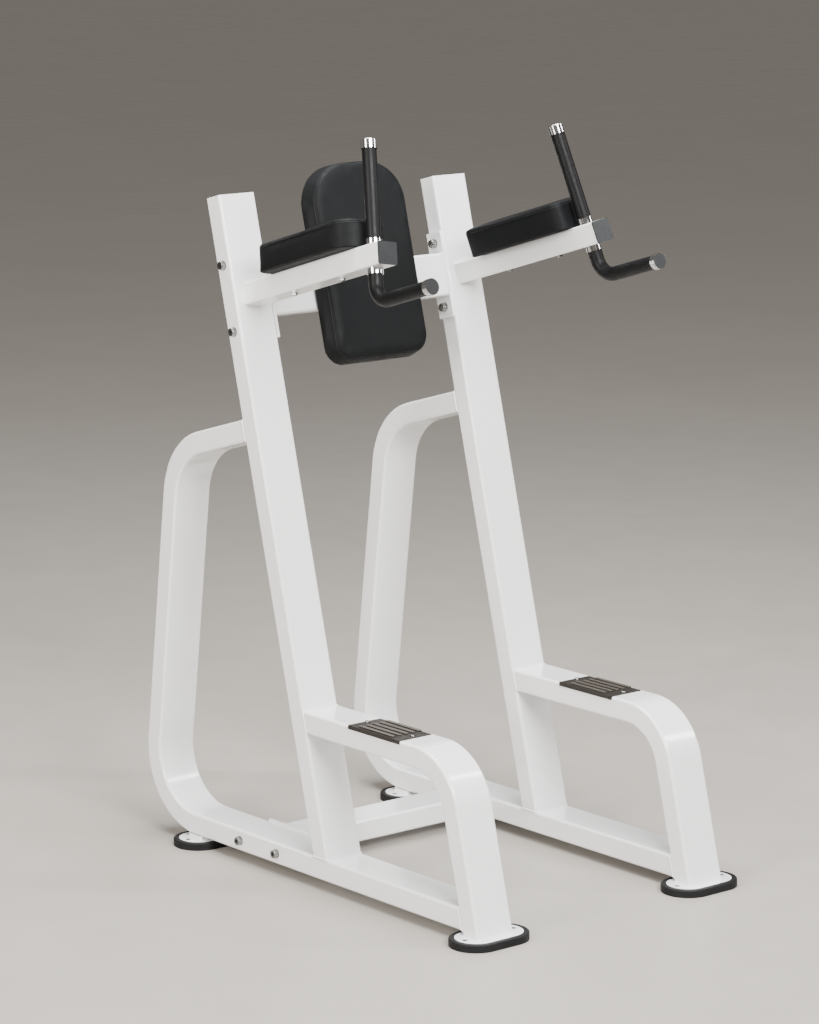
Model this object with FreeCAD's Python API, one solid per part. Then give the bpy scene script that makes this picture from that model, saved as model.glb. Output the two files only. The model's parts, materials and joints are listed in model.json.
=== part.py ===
import FreeCAD, Part
import os
from math import cos, sin, tan, radians

# Vertical knee raise and dip station.
# Millimetres.  +Z up, X across, the user faces -Y.  The origin is the middle of the footprint, on the floor.
# "left" is the -X side and "right" the +X side, as seen by someone who stands in front of the machine.

V = FreeCAD.Vector

# ---- driving dimensions: frame -------------------------------------------------------------------
FRAME_X = 310.0            # centre plane of each side frame
TUBE_W = 100.0             # frame tube, across the machine
TUBE_D = 50.0              # frame tube, in the plane of the side frame
WALL = 3.0
TUBE_R = 6.0               # outside corner radius of the frame tube
LEAN = 14.6                # degrees that the uprights and front legs lean back
RAIL_TOP = 75.0            # height of the base rail's top face
UPRIGHT_FOOT_Y = -63.4     # front face of the upright where it stands on the rail
UPRIGHT_TOP = 751.4        # top end, measured along the upright from the datum at DATUM_Z
DATUM_Z = 800.0
STEP_TOP = 401.0
STEP_BEND_R = 125.0        # centreline bend radius, step to front leg
LEG_FOOT_Y = -585.5        # front face of the front leg, produced down to the floor
HOOP_BACK_Y = 582.5        # rear face of the hoop at HOOP_DATUM_Z
HOOP_DATUM_Z = 500.0
HOOP_LEAN = 7.0            # degrees that the hoop leans forward as it rises
HOOP_TOP_Z = 1030.0        # top face of the hoop's top run at HOOP_TOP_Y
HOOP_TOP_Y = 238.5
HOOP_TOP_RISE = 16.3       # degrees that the top run climbs towards the front
HOOP_BEND_R = 155.0        # centreline bend radius of both hoop bends
HOOP_RUN_RAW = 420.0       # raw runs, cut back to the upright and the foot plate
STEP_RUN_RAW = 200.0
RAW_PAST = 40.0
UPRIGHT_RAW = 1700.0
ARM_RAW = 700.0
CAP_FLANGE = 1.2           # plastic caps in the upright's ends
CAP_INSET = 1.5
CAP_PLUG = 14.0

# ---- driving dimensions: feet --------------------------------------------------------------------
FOOT_FRONT_Y = -558.3
FOOT_REAR_Y = 434.0
PAD_L, PAD_B, PAD_H = 192.0, 118.0, 17.0
PAD_RIM = 12.8
PAD_EDGE_R = 3.0
PLATE_T = 5.0
FOOT_SCREW_X = 68.0        # from the frame's centre plane

# ---- driving dimensions: small screws and pad bolts ----------------------------------------------
SCREW_R = 3.0              # M6 shank
SCREW_HEAD_R = 6.0
SCREW_SOCKET_AF = 4.0
FOOT_SCREW_HEAD = 2.4      # height of the sunk head
FOOT_SINK_R, FOOT_SINK = 6.5, 3.0
FOOT_SCREW_LOW = 3.0       # tip of the foot screw above the floor
TREAD_SCREW_HEAD = 3.6
PAD_BOLT_R = 4.0           # M8 shank
PAD_BOLT_AF, PAD_BOLT_HEAD = 13.0, 5.3
NUT_BARREL_R = 5.5

# ---- driving dimensions: step treads -------------------------------------------------------------
TREAD_FRONT, TREAD_REAR = -318.5, -142.5
TREAD_X0, TREAD_X1 = -52.0, 39.0           # from the tube's centre plane
TREAD_T, TREAD_LIP = 2.0, 9.0
TREAD_RIBS, RIB_W, RIB_H = 5, 10.4, 2.6
RIB_FIRST, RIB_PITCH = 11.0, 18.7          # first rib's middle from the lipped edge, then rib to rib
TREAD_END = 29.0                           # flat strip at each end of the ribs
TREAD_SCREW_X = -5.0
TREAD_SCREW_Y = (TREAD_FRONT + 9.5, TREAD_REAR - 9.5)

# ---- driving dimensions: cross members -----------------------------------------------------------
END_PLATE_T = 6.0
END_PLATE_R = 3.0
UPPER_LOW, UPPER_HIGH = 471.5, 571.5      # along the upright
UPPER_PLATE_L = 201.0
UPPER_BOLT_PITCH = 150.0
LOWER_Y = 189.5            # centre of the lower crossbar
LOWER_PLATE_L = 180.0
LOWER_PLATE_TOP = 79.0
LOWER_BOLT_PITCH = 136.0
BOLT_R, HEAD_R, HEAD_H = 6.0, 9.5, 9.5
WASHER_R, WASHER_T = 10.5, 1.5
NUT_AF, NUT_H = 19.0, 11.0
BOLT_SOCKET_AF, BOLT_SOCKET_DEEP = 10.0, 5.5

# ---- driving dimensions: pads --------------------------------------------------------------------
BACK_T = 47.0
BACK_HIGH = 796.0                         # along the upright; the low ends are just below
BACK_REAR = {"half": 142.0, "low": 339.6, "top_r": 97.0, "foot_r": 46.0}
BACK_FRONT = {"half": 131.3, "low": 347.0, "top_r": 101.0, "foot_r": 27.0}
BACK_EDGE_R = 6.0
MOUNT_T = 4.0
MOUNT_W, MOUNT_LOW, MOUNT_HIGH = 190.0, 412.0, 680.0
MOUNT_R = 12.0
BOARD_T = 15.0
BOARD_INSET = 9.0                         # board edge inside the back pad's edge
BACK_BOLT_X = 70.0
BACK_BOLT_V = (432.0, 655.0)
ARM_PAD_W, ARM_PAD_T = 114.0, 65.0
ARM_PAD_BACK = 395.0                      # all three behind the arm's front end
ARM_PAD_FRONT_OUTER, ARM_PAD_FRONT_INNER = 82.0, 60.0
ARM_PAD_OUTER_R, ARM_PAD_INNER_R, ARM_PAD_BACK_R = 38.0, 28.0, 12.0
ARM_PAD_EDGE_R = 8.0
ARM_BOARD_T = 12.0
ARM_BOARD_INSET = 6.0
ARM_BOLT_AT = (161.0, 337.0)                # behind the arm's front end

# ---- driving dimensions: arms and handles --------------------------------------------------------
ARM_D = 50.0
ARM_R = 4.0
ARM_CAP_FLANGE = 3.0
ARM_END_Y, ARM_END_Z = -216.2, 1445.9     # middle of the arm's front end
ARM_RISE = 16.5            # degrees that the arm climbs towards the front
ARM_ROLL = 9.5             # degrees that the arm's top leans inward
HANDLE_BACK = 44.0         # handle axis behind the arm's front end
HANDLE_R, HANDLE_WALL = 13.0, 3.0
GRIP_R, COLLAR_R = 16.0, 18.0
GRIP_LOW, GRIP_HIGH = 39.0, 236.5         # upper grip, above the arm's axis
CAP_HIGH = 257.0
COLLAR_LOW = -38.0
DIP_DROP = 100.0           # dip grip's axis below the arm's axis
DIP_BEND_R = 40.0
DIP_REACH = 149.0          # end of the dip grip, in front of the arm's end
RING_L = 14.5
PLUG_R, PLUG_T = 17.0, 2.5

# ---- derived -------------------------------------------------------------------------------------
LEAN_TAN = tan(radians(LEAN))
UPRIGHT_DIR = V(0, sin(radians(LEAN)), cos(radians(LEAN)))
UPRIGHT_OUT = V(0, -cos(radians(LEAN)), sin(radians(LEAN)))     # square to the upright's front face
DATUM = V(0, UPRIGHT_FOOT_Y + (DATUM_Z - RAIL_TOP) * LEAN_TAN, DATUM_Z)
INNER_X = FRAME_X - TUBE_W / 2
BOLT_HOLE_R = BOLT_R + 0.5
X_AXIS = V(1, 0, 0)
Y_AXIS = V(0, 1, 0)
Z_AXIS = V(0, 0, 1)
SIDES = {"left": -1, "right": 1}


# ---- small tools ---------------------------------------------------------------------------------
def save(shape, name):
    shape.exportStep("parts/" + name + ".step")
    box = shape.BoundBox
    print("%-26s solids %2d  volume %10.0f  box %s" % (
        name, len(shape.Solids), shape.Volume,
        [round(v, 1) for v in (box.XMin, box.YMin, box.ZMin, box.XMax, box.YMax, box.ZMax)]))


def group(shapes):
    return Part.makeCompound(shapes)


def frame_at(origin, x_dir, z_dir):
    """Placement whose local X and Z run along the two given directions."""
    y_dir = z_dir.cross(x_dir)
    m = FreeCAD.Matrix(x_dir.x, y_dir.x, z_dir.x, origin.x,
                       x_dir.y, y_dir.y, z_dir.y, origin.y,
                       x_dir.z, y_dir.z, z_dir.z, origin.z,
                       0, 0, 0, 1)
    return FreeCAD.Placement(m)


def rounded_wire(points, radii):
    """Closed wire in the XY plane through the corner points, each corner with its own arc."""
    n = len(points)
    starts, ends, mids = [], [], []
    for i in range(n):
        p, before, after = points[i], points[i - 1], points[(i + 1) % n]
        a = (before - p).normalize()
        b = (after - p).normalize()
        half = a.getAngle(b) / 2
        reach = radii[i] / tan(half)
        starts.append(p + a * reach)
        ends.append(p + b * reach)
        middle = (a + b).normalize()
        mids.append(p + middle * (radii[i] / sin(half) - radii[i]))
    edges = []
    for i in range(n):
        if radii[i] > 0:
            edges.append(Part.Arc(starts[i], mids[i], ends[i]).toShape())
        following = starts[(i + 1) % n]
        if ends[i].distanceToPoint(following) > 1e-6:
            edges.append(Part.LineSegment(ends[i], following).toShape())
    return Part.Wire(edges)


def rect_wire(w, h, r):
    corners = [V(-w / 2, -h / 2, 0), V(w / 2, -h / 2, 0), V(w / 2, h / 2, 0), V(-w / 2, h / 2, 0)]
    return rounded_wire(corners, [r] * 4)


def prism(wire, height):
    return Part.Face(wire).extrude(V(0, 0, height))


def placed(shape, placement):
    copy = shape.copy()
    copy.Placement = placement.multiply(copy.Placement)
    return copy


def box_tube(w, h, r, length):
    """Square-cut rectangular tube along local Z."""
    outer = prism(rect_wire(w, h, r), length)
    inner = prism(rect_wire(w - 2 * WALL, h - 2 * WALL, r - WALL), length)
    return outer.cut(inner)


def rod(radius, start, direction, length):
    return Part.makeCylinder(radius, length, start, direction)


def hexagon(across_flats, height, start, direction):
    corner = across_flats / 2 / cos(radians(30))
    points = [V(corner * cos(radians(60 * i)), corner * sin(radians(60 * i)), 0) for i in range(6)]
    x_dir = direction.cross(V(0, 1, 0.3)).normalize()
    wire = Part.makePolygon(points + [points[0]])
    return placed(prism(wire, height), frame_at(start, x_dir, direction))


def bent_path(points, radius):
    """Straight runs joined by tangent arcs of one radius."""
    edges = []
    last = points[0]
    for i in range(1, len(points) - 1):
        p = points[i]
        a = (points[i - 1] - p).normalize()
        b = (points[i + 1] - p).normalize()
        half = a.getAngle(b) / 2
        reach = radius / tan(half)
        start, end = p + a * reach, p + b * reach
        middle = p + (a + b).normalize() * (radius / sin(half) - radius)
        edges.append(Part.LineSegment(last, start).toShape())
        edges.append(Part.Arc(start, middle, end).toShape())
        last = end
    edges.append(Part.LineSegment(last, points[-1]).toShape())
    return Part.Wire(edges)


def swept(path, section):
    return path.makePipeShell([section], True, False)


def bent_box_tube(points, radius):
    """Hollow frame tube in a plane of constant X, swept along the bent path."""
    path = bent_path(points, radius)
    direction = (points[1] - points[0]).normalize()
    at_start = frame_at(points[0], X_AXIS, direction)
    outer = swept(path, placed(rect_wire(TUBE_W, TUBE_D, TUBE_R), at_start))
    inner = swept(path, placed(rect_wire(TUBE_W - 2 * WALL, TUBE_D - 2 * WALL, TUBE_R - WALL), at_start))
    return outer.cut(inner)


def half_space(point, normal, size=4000.0):
    """A big block on the side of the plane that the normal points to."""
    x_dir = X_AXIS if abs(normal.x) < 0.9 else Y_AXIS
    block = Part.makeBox(size, size, size, V(-size / 2, -size / 2, 0))
    return placed(block, frame_at(point, x_dir, normal))


def on_upright(x, along, out):
    """A point given by its distance along the upright and in front of its front face."""
    return V(x, 0, 0) + DATUM + UPRIGHT_DIR * along + UPRIGHT_OUT * out


# ---- side frames ---------------------------------------------------------------------------------
def rail_and_hoop_points(x):
    """Centreline of the base tube: rail, rear bend, hoop, top bend, run to the upright."""
    rail_z = RAIL_TOP - TUBE_D / 2
    slope = tan(radians(HOOP_LEAN))
    hoop_y = HOOP_BACK_Y - TUBE_D / 2 / cos(radians(HOOP_LEAN))
    low = V(x, hoop_y - slope * (rail_z - HOOP_DATUM_Z), rail_z)
    rise = tan(radians(HOOP_TOP_RISE))
    top_z = HOOP_TOP_Z - TUBE_D / 2 / cos(radians(HOOP_TOP_RISE))
    # z = top_z + (HOOP_TOP_Y - y) * rise meets y = hoop_y - slope * (z - HOOP_DATUM_Z)
    z = (top_z + (HOOP_TOP_Y - hoop_y - slope * HOOP_DATUM_Z) * rise) / (1 - slope * rise)
    high = V(x, hoop_y - slope * (z - HOOP_DATUM_Z), z)
    front = V(x, LEG_FOOT_Y, rail_z)
    run_end = high + V(0, -cos(radians(HOOP_TOP_RISE)), sin(radians(HOOP_TOP_RISE))) * HOOP_RUN_RAW
    return [front, low, high, run_end]


def step_and_leg_points(x):
    step_z = STEP_TOP - TUBE_D / 2
    leg_centre = LEG_FOOT_Y + TUBE_D / 2 / cos(radians(LEAN))
    corner = V(x, leg_centre + step_z * LEAN_TAN, step_z)
    foot = V(x, leg_centre - RAW_PAST * LEAN_TAN, -RAW_PAST)
    return [V(x, STEP_RUN_RAW, step_z), corner, foot]


def through_bolt_holes(places, x):
    return group([rod(BOLT_HOLE_R, V(x - TUBE_W, p.y, p.z), X_AXIS, 2 * TUBE_W) for p in places])


def upper_bolt_places():
    middle = (UPPER_LOW + UPPER_HIGH) / 2
    return [on_upright(0, middle + k * UPPER_BOLT_PITCH / 2, -TUBE_D / 2) for k in (-1, 1)]


def lower_bolt_places():
    z = RAIL_TOP - TUBE_D / 2
    return [V(0, LOWER_Y + k * LOWER_BOLT_PITCH / 2, z) for k in (-1, 1)]


def base_hoop(x):
    tube = bent_box_tube(rail_and_hoop_points(x), HOOP_BEND_R)
    leg_rear = V(x, LEG_FOOT_Y + TUBE_D / cos(radians(LEAN)), 0)
    tube = tube.cut(half_space(leg_rear, UPRIGHT_OUT))
    in_front = half_space(on_upright(x, 0, -TUBE_D), UPRIGHT_OUT)
    upper_run_only = Part.makeBox(4 * TUBE_W, 4000, 2000, V(x - 2 * TUBE_W, -2000, HOOP_DATUM_Z))
    tube = tube.cut(in_front.common(upper_run_only))
    return tube.cut(through_bolt_holes(lower_bolt_places(), x))


def upright(x):
    tube = box_tube(TUBE_W, TUBE_D, TUBE_R, UPRIGHT_RAW)
    start = on_upright(x, UPRIGHT_TOP - UPRIGHT_RAW, -TUBE_D / 2)
    tube = placed(tube, frame_at(start, X_AXIS, UPRIGHT_DIR))
    tube = tube.cut(half_space(V(x, 0, RAIL_TOP), V(0, 0, -1)))
    return tube.cut(through_bolt_holes(upper_bolt_places(), x))


def step_leg(x):
    tube = bent_box_tube(step_and_leg_points(x), STEP_BEND_R)
    tube = tube.cut(half_space(on_upright(x, 0, 0), UPRIGHT_OUT * -1))
    tube = tube.cut(half_space(V(x, 0, PAD_H), V(0, 0, -1)))
    holes = [rod(SCREW_R, V(x + TREAD_SCREW_X, y, STEP_TOP - 8), Z_AXIS, 20) for y in TREAD_SCREW_Y]
    return tube.cut(group(holes))


def upright_cap(x):
    flange = prism(rect_wire(TUBE_W - 2 * CAP_INSET, TUBE_D - 2 * CAP_INSET, TUBE_R - CAP_INSET), CAP_FLANGE)
    plug = prism(rect_wire(TUBE_W - 2 * WALL, TUBE_D - 2 * WALL, TUBE_R - WALL), CAP_PLUG)
    plug.translate(V(0, 0, -CAP_PLUG))
    return placed(flange.fuse(plug), frame_at(on_upright(x, UPRIGHT_TOP, -TUBE_D / 2), X_AXIS, UPRIGHT_DIR))


# ---- feet ----------------------------------------------------------------------------------------
def oblong(length, breadth, height, origin):
    r = breadth / 2
    half = length / 2 - r
    wire = Part.Wire([
        Part.LineSegment(V(-half, -r, 0), V(half, -r, 0)).toShape(),
        Part.Arc(V(half, -r, 0), V(half + r, 0, 0), V(half, r, 0)).toShape(),
        Part.LineSegment(V(half, r, 0), V(-half, r, 0)).toShape(),
        Part.Arc(V(-half, r, 0), V(-half - r, 0, 0), V(-half, -r, 0)).toShape()])
    solid = prism(wire, height)
    solid.translate(origin)
    return solid


def foot_screw_places(x, y):
    return [V(x + k * FOOT_SCREW_X, y, 0) for k in (-1, 1)]


def foot_pad(x, y):
    pad = oblong(PAD_L, PAD_B, PAD_H, V(x, y, 0))
    rim = [e for e in pad.Edges if e.BoundBox.ZMin > PAD_H - 0.01]
    pad = pad.makeFillet(PAD_EDGE_R, rim)
    recess = oblong(PAD_L - 2 * PAD_RIM, PAD_B - 2 * PAD_RIM, PAD_H, V(x, y, PAD_H - PLATE_T))
    holes = [rod(SCREW_R, p + V(0, 0, FOOT_SCREW_LOW), Z_AXIS, PAD_H) for p in foot_screw_places(x, y)]
    return pad.cut(group([recess] + holes))


def foot_plate(x, y):
    low = PAD_H - PLATE_T
    plate = oblong(PAD_L - 2 * PAD_RIM, PAD_B - 2 * PAD_RIM, PLATE_T, V(x, y, low))
    holes = [rod(SCREW_R, p, Z_AXIS, 40) for p in foot_screw_places(x, y)]
    sinks = [rod(FOOT_SINK_R, p + V(0, 0, PAD_H - FOOT_SINK), Z_AXIS, 10) for p in foot_screw_places(x, y)]
    return plate.cut(group(holes + sinks))


def foot_screw(p):
    seat = p + V(0, 0, PAD_H - FOOT_SINK)
    shank = rod(SCREW_R, p + V(0, 0, FOOT_SCREW_LOW), Z_AXIS, PAD_H - FOOT_SINK - FOOT_SCREW_LOW)
    head = rod(SCREW_HEAD_R, seat, Z_AXIS, FOOT_SCREW_HEAD)
    socket = hexagon(SCREW_SOCKET_AF, FOOT_SCREW_HEAD, seat + V(0, 0, 0.9), Z_AXIS)
    return shank.fuse(head).cut(socket)


def rear_stub(x):
    """Short upright piece of frame tube between the rear plate and the start of the hoop's bend."""
    stub = placed(box_tube(TUBE_W, TUBE_D, TUBE_R, 60), frame_at(V(x, FOOT_REAR_Y, PAD_H), X_AXIS, Z_AXIS))
    path = rail_and_hoop_points(x)
    above = swept(bent_path(path, HOOP_BEND_R), placed(
        rect_wire(TUBE_W + 20, TUBE_D, 0), frame_at(path[0], X_AXIS, Y_AXIS)))
    ceiling = Part.makeBox(200, 200, 60, V(x - 100, FOOT_REAR_Y - 100, RAIL_TOP - TUBE_D + 20))
    pieces = stub.cut(above).cut(ceiling).Solids
    return min(pieces, key=lambda s: s.BoundBox.ZMin)


# ---- step treads ---------------------------------------------------------------------------------
def step_tread(x):
    x0, x1 = x + TREAD_X0, x + TREAD_X1
    width, length = x1 - x0, TREAD_REAR - TREAD_FRONT
    plate = Part.makeBox(width, length, TREAD_T, V(x0, TREAD_FRONT, STEP_TOP))
    lip = Part.makeBox(TREAD_T, length, TREAD_LIP, V(x0, TREAD_FRONT, STEP_TOP + TREAD_T - TREAD_LIP))
    body = plate.fuse(lip).removeSplitter()
    for i in range(TREAD_RIBS):
        centre = x0 + RIB_FIRST + RIB_PITCH * i
        rib = oblong(length - 2 * TREAD_END, RIB_W, RIB_H, V(0, 0, 0))
        rib.rotate(V(0, 0, 0), Z_AXIS, 90)
        rib.translate(V(centre, (TREAD_FRONT + TREAD_REAR) / 2, STEP_TOP + TREAD_T))
        body = body.fuse(rib)
    holes = [rod(SCREW_R, V(x + TREAD_SCREW_X, y, STEP_TOP - 5), Z_AXIS, 20) for y in TREAD_SCREW_Y]
    return body.removeSplitter().cut(group(holes))


def tread_screw(x, y):
    base = V(x + TREAD_SCREW_X, y, STEP_TOP + TREAD_T)
    head = rod(SCREW_HEAD_R, base, Z_AXIS, TREAD_SCREW_HEAD)
    head = head.makeFillet(1.6, [e for e in head.Edges if e.BoundBox.ZMin > base.z + TREAD_SCREW_HEAD - 0.1])
    shank = rod(SCREW_R, base - V(0, 0, 12), Z_AXIS, 12)
    return head.fuse(shank).cut(hexagon(SCREW_SOCKET_AF, 3, base + V(0, 0, 1.4), Z_AXIS))


# ---- cross members -------------------------------------------------------------------------------
def upper_crossbeam():
    length = 2 * (INNER_X - END_PLATE_T)
    start = on_upright(-length / 2, (UPPER_LOW + UPPER_HIGH) / 2, -TUBE_D / 2)
    tube = box_tube(UPPER_HIGH - UPPER_LOW, TUBE_D, TUBE_R, length)
    return placed(tube, frame_at(start, UPRIGHT_DIR, X_AXIS))


def upper_end_plate(side):
    start = side * INNER_X if side < 0 else INNER_X - END_PLATE_T
    wire = rect_wire(UPPER_PLATE_L, TUBE_D, END_PLATE_R)
    middle = (UPPER_LOW + UPPER_HIGH) / 2
    plate = placed(prism(wire, END_PLATE_T),
                   frame_at(on_upright(start, middle, -TUBE_D / 2), UPRIGHT_DIR, X_AXIS))
    holes = [rod(BOLT_HOLE_R, V(start - 10, p.y, p.z), X_AXIS, 30) for p in upper_bolt_places()]
    return plate.cut(group(holes))


def lower_crossbar():
    length = 2 * (INNER_X - END_PLATE_T)
    start = V(-length / 2, LOWER_Y, RAIL_TOP - TUBE_D / 2)
    return placed(box_tube(TUBE_D, TUBE_W, TUBE_R, length), frame_at(start, Z_AXIS, X_AXIS))


def lower_end_plate(side):
    start = side * INNER_X if side < 0 else INNER_X - END_PLATE_T
    low = RAIL_TOP - TUBE_D
    wire = rect_wire(LOWER_PLATE_TOP - low, LOWER_PLATE_L, END_PLATE_R)
    plate = placed(prism(wire, END_PLATE_T),
                   frame_at(V(start, LOWER_Y, (low + LOWER_PLATE_TOP) / 2), Z_AXIS, X_AXIS))
    holes = [rod(BOLT_HOLE_R, V(start - 10, p.y, p.z), X_AXIS, 30) for p in lower_bolt_places()]
    return plate.cut(group(holes))


def socket_bolt(p, side):
    """Cap screw whose head sits on the washer outside the frame and whose shank runs inward."""
    out = V(side, 0, 0)
    face = V(side * (FRAME_X + TUBE_W / 2 + WASHER_T), p.y, p.z)
    head = rod(HEAD_R, face, out, HEAD_H)
    head = head.makeFillet(1.2, [e for e in head.Edges if abs(e.BoundBox.XMin - face.x - side * HEAD_H) < 0.01
                                 and abs(e.BoundBox.XMax - face.x - side * HEAD_H) < 0.01])
    shank_l = TUBE_W + END_PLATE_T + 2 * WASHER_T + NUT_H + 3
    shank = rod(BOLT_R, face, out * -1, shank_l)
    socket = hexagon(BOLT_SOCKET_AF, BOLT_SOCKET_DEEP + 1, face + out * (HEAD_H - BOLT_SOCKET_DEEP), out)
    return head.fuse(shank).cut(socket)


def washer_at(x, p, direction):
    ring = rod(WASHER_R, V(x, p.y, p.z), direction, WASHER_T)
    return ring.cut(rod(BOLT_R, V(x, p.y, p.z) - direction, direction, WASHER_T + 2))


def bolt_washers(p, side):
    out = V(side, 0, 0)
    outside = side * (FRAME_X + TUBE_W / 2)
    inside = side * (INNER_X - END_PLATE_T)
    return [washer_at(outside, p, out), washer_at(inside, p, out * -1)]


def bolt_nut(p, side):
    inward = V(-side, 0, 0)
    start = V(side * (INNER_X - END_PLATE_T - WASHER_T), p.y, p.z)
    nut = hexagon(NUT_AF, NUT_H, start, inward)
    dome = Part.makeCone(NUT_AF / 2 + 2.6, NUT_AF / 2 - 0.5, NUT_H, start, inward)
    return nut.common(dome).cut(rod(BOLT_R, start - inward, inward, NUT_H + 2))


# ---- back pad ------------------------------------------------------------------------------------
def back_frame(out):
    """Local X across, local Y up the upright, local Z out of the pad's front."""
    return frame_at(on_upright(0, 0, out), X_AXIS, UPRIGHT_OUT)


def back_outline(size, inset=0.0, height=0.0):
    half, low, high = size["half"] - inset, size["low"] + inset, BACK_HIGH - inset
    top_r, foot_r = size["top_r"] - inset, size["foot_r"] - inset
    corners = [V(-half, low, height), V(half, low, height), V(half, high, height), V(-half, high, height)]
    return rounded_wire(corners, [foot_r, foot_r, top_r, top_r])


def back_bolt_places():
    return [(k * BACK_BOLT_X, v) for k in (-1, 1) for v in BACK_BOLT_V]


def back_cushion():
    """The sides draw in towards the front face."""
    body = Part.makeLoft([back_outline(BACK_REAR), back_outline(BACK_FRONT, 0, BACK_T)], True, True)
    front_rim = [e for e in body.Edges if e.BoundBox.ZMin > BACK_T - 0.01]
    body = body.makeFillet(BACK_EDGE_R, front_rim)
    pocket = prism(back_outline(BACK_REAR, BOARD_INSET), BOARD_T)
    return placed(body.cut(pocket), back_frame(MOUNT_T))


def back_board():
    board = prism(back_outline(BACK_REAR, BOARD_INSET), BOARD_T)
    holes = [rod(NUT_BARREL_R, V(x, v, -1), Z_AXIS, BOARD_T + 2) for x, v in back_bolt_places()]
    return placed(board.cut(group(holes)), back_frame(MOUNT_T))


def back_mount_plate():
    centre = V(0, (MOUNT_LOW + MOUNT_HIGH) / 2, 0)
    wire = rect_wire(MOUNT_W, MOUNT_HIGH - MOUNT_LOW, MOUNT_R)
    wire.translate(centre)
    plate = prism(wire, MOUNT_T)
    holes = [rod(PAD_BOLT_R, V(x, v, -1), Z_AXIS, MOUNT_T + 2) for x, v in back_bolt_places()]
    return placed(plate.cut(group(holes)), back_frame(0))


def back_bolt(x, v):
    head = hexagon(PAD_BOLT_AF, PAD_BOLT_HEAD, V(x, v, -PAD_BOLT_HEAD), Z_AXIS)
    shank = rod(PAD_BOLT_R, V(x, v, -0.5), Z_AXIS, MOUNT_T + BOARD_T - 1.5)
    return placed(head.fuse(shank), back_frame(0))


def insert_nut(x, v, length, place):
    """Threaded barrel nut pressed into a pad board."""
    barrel = rod(NUT_BARREL_R, V(x, v, 0), Z_AXIS, length)
    return placed(barrel.cut(rod(PAD_BOLT_R, V(x, v, -1), Z_AXIS, length + 2)), place)


# ---- arms ----------------------------------------------------------------------------------------
class Arm:
    """Directions of one arm: ahead along it, inward across it and up square to it."""

    def __init__(self, side):
        rise, roll = radians(ARM_RISE), radians(ARM_ROLL)
        inward = V(-side, 0, 0)
        level_up = V(0, sin(rise), cos(rise))
        self.side = side
        self.ahead = V(0, -cos(rise), sin(rise))
        self.inward = inward * cos(roll) - level_up * sin(roll)
        self.up = level_up * cos(roll) + inward * sin(roll)
        self.end = V(side * FRAME_X, ARM_END_Y, ARM_END_Z)

    def point(self, back, inward, up):
        return self.end - self.ahead * back + self.inward * inward + self.up * up

    def plan(self, up):
        """Placement with local X to the rear, local Z up the arm and local Y across it."""
        return frame_at(self.point(0, 0, up), self.ahead * -1, self.up)

    def across(self):
        """Sign of local Y in plan() that points inward."""
        return 1 if self.up.cross(self.ahead * -1).dot(self.inward) > 0 else -1


def arm_tube(arm):
    tube = placed(box_tube(ARM_D, ARM_D, ARM_R, ARM_RAW), frame_at(arm.end, arm.inward, arm.ahead * -1))
    tube = tube.cut(half_space(on_upright(arm.side * FRAME_X, 0, 0), UPRIGHT_OUT * -1))
    bolts = [rod(PAD_BOLT_R, arm.point(s, 0, -60), arm.up, 120) for s in ARM_BOLT_AT]
    handle = rod(HANDLE_R, arm.point(HANDLE_BACK, 0, -60), arm.up, 120)
    return tube.cut(group(bolts + [handle]))


def arm_end_cap(arm):
    flange = prism(rect_wire(ARM_D, ARM_D, ARM_R), ARM_CAP_FLANGE)
    inner = ARM_D - 2 * WALL
    hollow = inner - 2 * WALL
    plug = prism(rect_wire(inner, inner, 1), CAP_PLUG).cut(prism(rect_wire(hollow, hollow, 1), CAP_PLUG))
    plug.translate(V(0, 0, -CAP_PLUG))
    return placed(flange.fuse(plug), frame_at(arm.end, arm.inward, arm.ahead))


def arm_pad_outline(arm, inset):
    """Plan of the pad: the front edge slants, and its outer corner is the more rounded one."""
    k = arm.across()
    w = ARM_PAD_W / 2 - inset
    back = ARM_PAD_BACK - inset
    front_outer, front_inner = ARM_PAD_FRONT_OUTER + inset, ARM_PAD_FRONT_INNER + inset
    corners = [V(front_outer, -w * k, 0), V(back, -w * k, 0), V(back, w * k, 0), V(front_inner, w * k, 0)]
    radii = [r - inset for r in (ARM_PAD_OUTER_R, ARM_PAD_BACK_R, ARM_PAD_BACK_R, ARM_PAD_INNER_R)]
    if k < 0:
        corners.reverse()
        radii.reverse()
    return rounded_wire(corners, radii)


def arm_pad_cushion(arm):
    body = prism(arm_pad_outline(arm, 0), ARM_PAD_T)
    rim = [e for e in body.Edges if e.BoundBox.ZMin > ARM_PAD_T - 0.01]
    body = body.makeFillet(ARM_PAD_EDGE_R, rim)
    pocket = prism(arm_pad_outline(arm, ARM_BOARD_INSET), ARM_BOARD_T)
    return placed(body.cut(pocket), arm.plan(ARM_D / 2))


def arm_pad_board(arm):
    board = prism(arm_pad_outline(arm, ARM_BOARD_INSET), ARM_BOARD_T)
    holes = [rod(NUT_BARREL_R, V(s, 0, -1), Z_AXIS, ARM_BOARD_T + 2) for s in ARM_BOLT_AT]
    return placed(board.cut(group(holes)), arm.plan(ARM_D / 2))


def arm_bolt(arm, s):
    head = hexagon(PAD_BOLT_AF, PAD_BOLT_HEAD, arm.point(s, 0, -ARM_D / 2 - PAD_BOLT_HEAD), arm.up)
    shank = rod(PAD_BOLT_R, arm.point(s, 0, -ARM_D / 2 - 0.5), arm.up, ARM_D + ARM_BOARD_T - 1)
    return head.fuse(shank)


# ---- handles -------------------------------------------------------------------------------------
def handle_path(arm, high, reach):
    """From a height on the upper grip's axis down, round the bend and forward to the dip grip's end."""
    corner = arm.point(HANDLE_BACK, 0, -DIP_DROP)
    return bent_path([arm.point(HANDLE_BACK, 0, high), corner, arm.point(-reach, 0, -DIP_DROP)], DIP_BEND_R)


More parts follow.
